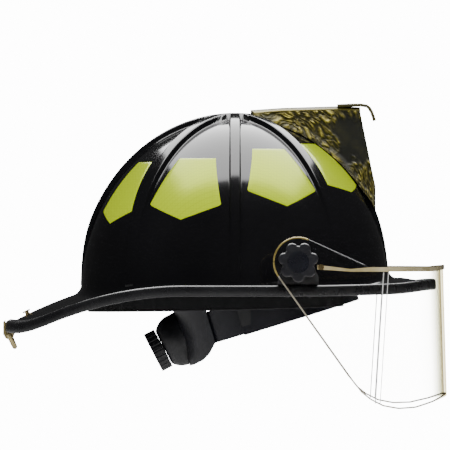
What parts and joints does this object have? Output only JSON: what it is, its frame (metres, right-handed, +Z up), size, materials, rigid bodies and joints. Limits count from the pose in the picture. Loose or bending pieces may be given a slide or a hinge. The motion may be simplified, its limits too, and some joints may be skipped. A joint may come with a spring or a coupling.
{
  "type": "firefighter helmet",
  "caption": "Traditional fire helmet: ribbed dome, long drooping beaded brim, reflective panels, cast crest holder, swing-up face shield, rear ring and ratchet headband.",
  "frame": {"origin": "centre of the head opening, at the height of the brim's mid-surface over the ears", "axes": "+X towards the wearer's front, +Y towards the wearer's left, +Z up through the crown"},
  "size_m": [0.3991, 0.3364, 0.271],
  "materials": {
    "shell": "glossy black composite",
    "edge_rubber": "smooth black rubber bead",
    "reflective": "lime-yellow retroreflective sheet",
    "cast_brass": "cast, aged, olive-gold",
    "brass": "satin brass",
    "brass_screw": "polished brass",
    "steel": "zinc plated",
    "black_steel": "black powder coat",
    "clear_lens": "clear polycarbonate with amber cut edges",
    "amber_strip": "amber tinted clear edge strip",
    "black_nylon": "moulded nylon",
    "nylon": "natural acetal",
    "knob_plastic": "fine-grained black",
    "housing_plastic": "fine-grained dark grey",
    "band_plastic": "semi-flexible dark blue-grey",
    "foam": "moulded impact foam, black skinned",
    "padding": "padded flame-resistant cloth",
    "webbing": "woven webbing",
    "protector_cloth": "black flame-resistant cloth"
  },
  "bodies": {
    "helmet": {"outer_shell": "shell", "brim_edge_trim": "edge_rubber", "reflective_panel_front_left": "reflective", "reflective_panel_side_front_left": "reflective", "reflective_panel_side_rear_left": "reflective", "reflective_panel_rear_left": "reflective", "reflective_panel_rear_right": "reflective", "reflective_panel_side_rear_right": "reflective", "reflective_panel_side_front_right": "reflective", "reflective_panel_front_right": "reflective", "crest_holder": "cast_brass", "crest_holder_screws": "brass_screw", "crest_holder_washers": "steel", "rear_hanger": "brass", "rear_hanger_rivet": "brass_screw", "bracket_screws": "brass_screw", "bracket_nuts": "steel", "bracket_rivets": "brass_screw", "pivot_bracket_left": "black_steel", "pivot_stud_left": "steel", "pivot_spacer_left": "black_nylon", "pivot_bracket_right": "black_steel", "pivot_stud_right": "steel", "pivot_spacer_right": "black_nylon", "impact_liner": "foam", "crown_strap_1": "webbing", "crown_strap_2": "webbing", "crown_strap_3": "webbing", "crown_pad": "padding", "strap_anchors": "black_nylon", "neck_protector": "protector_cloth", "neck_protector_snaps": "steel", "headband": "band_plastic", "brow_pad": "padding", "headband_hanger_front_left": "black_nylon", "headband_hanger_front_right": "black_nylon", "headband_hanger_rear_left": "black_nylon", "headband_hanger_rear_right": "black_nylon"},
    "faceshield": {"faceshield_lens": "clear_lens", "faceshield_edge_strip": "amber_strip", "edge_strip_rivets": "brass_screw", "ear_grommets": "black_nylon"},
    "knob_left": {"knob_left": "knob_plastic", "knob_insert_left": "brass", "knob_cap_left": "knob_plastic", "clamp_washer_left": "steel"},
    "knob_right": {"knob_right": "knob_plastic", "knob_insert_right": "brass", "knob_cap_right": "knob_plastic", "clamp_washer_right": "steel"},
    "nape_adjuster": {"nape_yoke": "band_plastic", "nape_support": "band_plastic", "nape_pad": "padding", "ratchet_housing": "housing_plastic", "rack_strips": "nylon", "detent_spring": "steel"},
    "ratchet_knob": {"ratchet_dial": "housing_plastic", "ratchet_pinion": "nylon"},
    "d_ring": {"d_ring": "brass"}
  },
  "joints": [
    {"name": "visor_tilt", "type": "hinge", "parent": "helmet", "child": "faceshield", "pos_m": [0.0558, 0, 0.0252], "axis": [0, -1, 0], "range_deg": [0, 55]},
    {"name": "knob_left_turn", "type": "hinge", "parent": "helmet", "child": "knob_left", "pos_m": [0.0558, 0.162, 0.0252], "axis": [0, 1, 0], "continuous": true},
    {"name": "knob_right_turn", "type": "hinge", "parent": "helmet", "child": "knob_right", "pos_m": [0.0558, -0.162, 0.0252], "axis": [0, -1, 0], "continuous": true},
    {"name": "nape_slide", "type": "slide", "parent": "helmet", "child": "nape_adjuster", "axis": [0.9563, 0, 0.2924], "range_m": [-0.008, 0.01]},
    {"name": "ratchet_turn", "type": "hinge", "parent": "nape_adjuster", "child": "ratchet_knob", "pos_m": [-0.06912, 0, -0.05477], "axis": [-0.887, 0, -0.4617], "range_deg": [-80, 100]},
    {"name": "ring_swing", "type": "hinge", "parent": "helmet", "child": "d_ring", "pos_m": [-0.2033, 0, -0.0406], "axis": [0, 1, 0], "range_deg": [-20, 70]}
  ],
  "couplings": [
    {"joint": "ratchet_turn", "follows": "nape_slide", "rad_per_m": 166.67}
  ]
}
